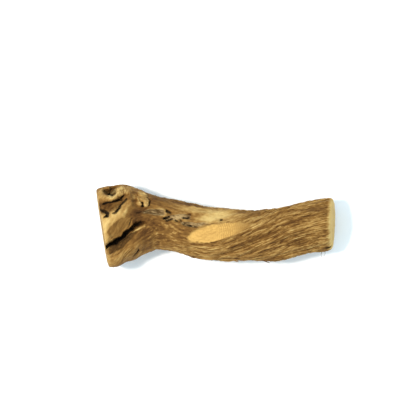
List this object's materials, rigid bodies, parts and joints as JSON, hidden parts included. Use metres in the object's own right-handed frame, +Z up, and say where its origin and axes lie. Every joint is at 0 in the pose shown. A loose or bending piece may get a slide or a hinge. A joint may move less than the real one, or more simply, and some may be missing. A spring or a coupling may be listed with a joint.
{
  "type": "piece of driftwood",
  "caption": "Short sawn length of weathered driftwood with a gnarled, cleft head, a waisted neck and a slim fibrous limb, lying on its side.",
  "frame": {"origin": "on the surface that the piece lies on, below the middle of its box", "axes": "+X from the gnarled head to the limb's sawn end, +Z up, +Y towards the back"},
  "size_m": [0.199, 0.0684, 0.0581],
  "materials": {
    "weathered_wood": "dry, matte, fibrous weathered wood with bare pale patches and brown bark stain"
  },
  "bodies": {
    "root": {"driftwood": "weathered_wood"}
  },
  "joints": []
}
